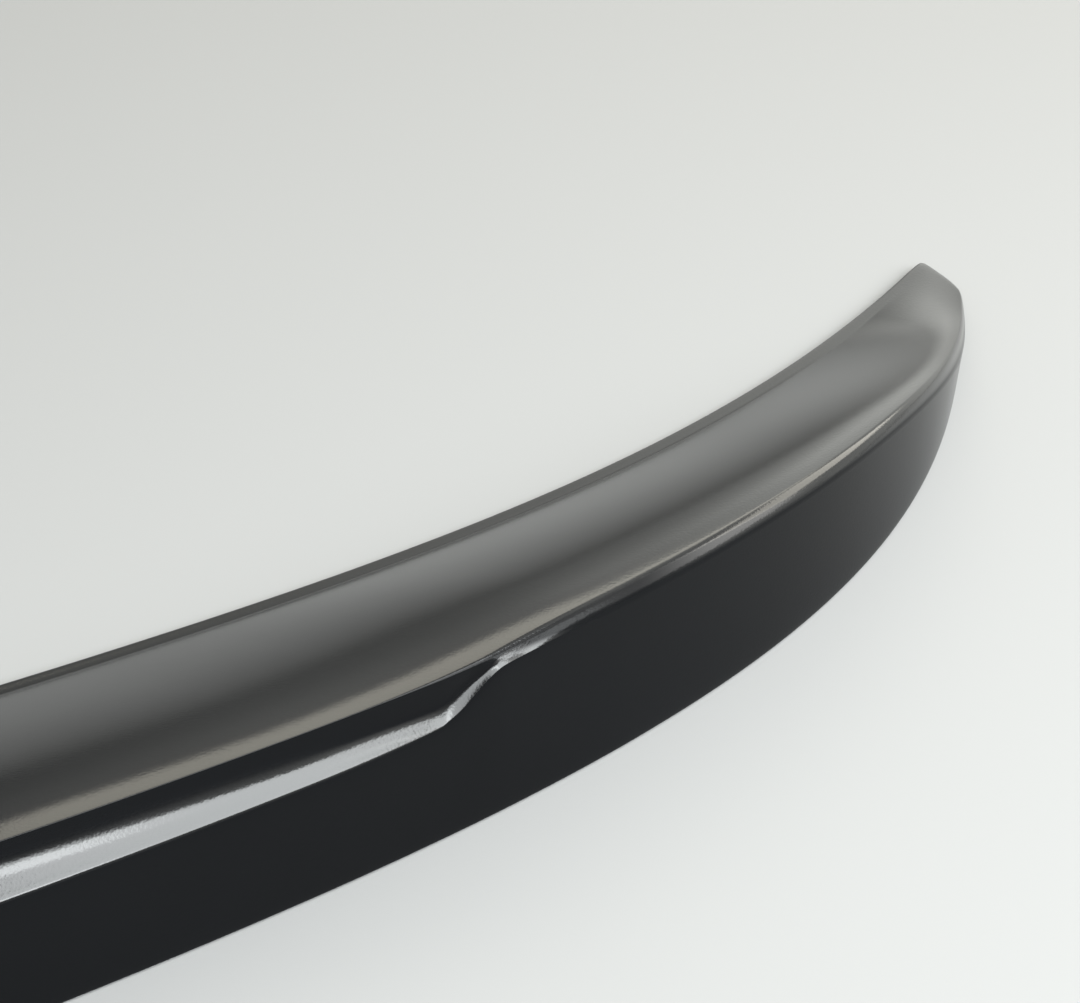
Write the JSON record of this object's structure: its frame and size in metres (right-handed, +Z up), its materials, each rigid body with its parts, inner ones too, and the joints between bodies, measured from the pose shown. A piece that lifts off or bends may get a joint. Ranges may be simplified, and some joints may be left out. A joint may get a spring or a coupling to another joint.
{
  "type": "car rear spoiler",
  "caption": "Low crescent-shaped boot lid lip spoiler: one hollow gloss moulding with a stepped rear ledge, bonded by foam tape under its long edges.",
  "frame": {"origin": "centre of the bounding box, on the bonding plane that the tapes' undersides lie in", "axes": "+X to the right tip as seen from behind the car, +Y to the front of the car, +Z up from the boot lid"},
  "size_m": [1.1944, 0.203, 0.0497],
  "materials": {
    "gloss_shell": "high gloss black paint over moulded plastic, with a faint orange peel",
    "foam_tape": "matte grey acrylic foam tape"
  },
  "bodies": {
    "root": {"spoiler_shell": "gloss_shell", "front_tape_left": "foam_tape", "front_tape_centre": "foam_tape", "front_tape_right": "foam_tape", "rear_tape_left": "foam_tape", "rear_tape_centre": "foam_tape", "rear_tape_right": "foam_tape"}
  },
  "joints": []
}
